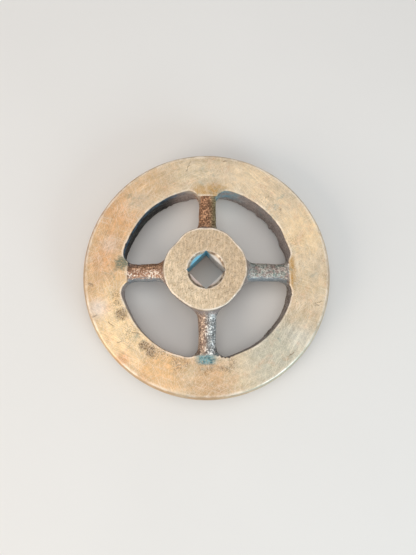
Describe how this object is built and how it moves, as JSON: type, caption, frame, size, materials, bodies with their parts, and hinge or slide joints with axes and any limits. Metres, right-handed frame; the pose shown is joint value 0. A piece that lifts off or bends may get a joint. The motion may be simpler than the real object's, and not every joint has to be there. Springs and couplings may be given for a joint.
{
  "type": "valve handwheel",
  "caption": "Small cast bronze valve handwheel: ground flat rim, rough sloping spokes, raised round hub with a square stem socket.",
  "frame": {"origin": "on the wheel's axis, in the plane of the rim's back, where the wheel rests when laid down", "axes": "+Z along the wheel's axis, out of the ground front face; +X along spoke_east and +Y along spoke_north"},
  "size_m": [0.075, 0.075, 0.0129],
  "materials": {
    "ground_bronze": "satin, ground and handled, fine scratches and small casting pits",
    "cast_bronze": "rough as cast, dull brown and grey tarnish with green in the corners"
  },
  "bodies": {
    "root": {"rim": "ground_bronze", "hub": "ground_bronze", "spoke_east": "cast_bronze", "spoke_north": "cast_bronze", "spoke_west": "cast_bronze", "spoke_south": "cast_bronze"}
  },
  "joints": []
}
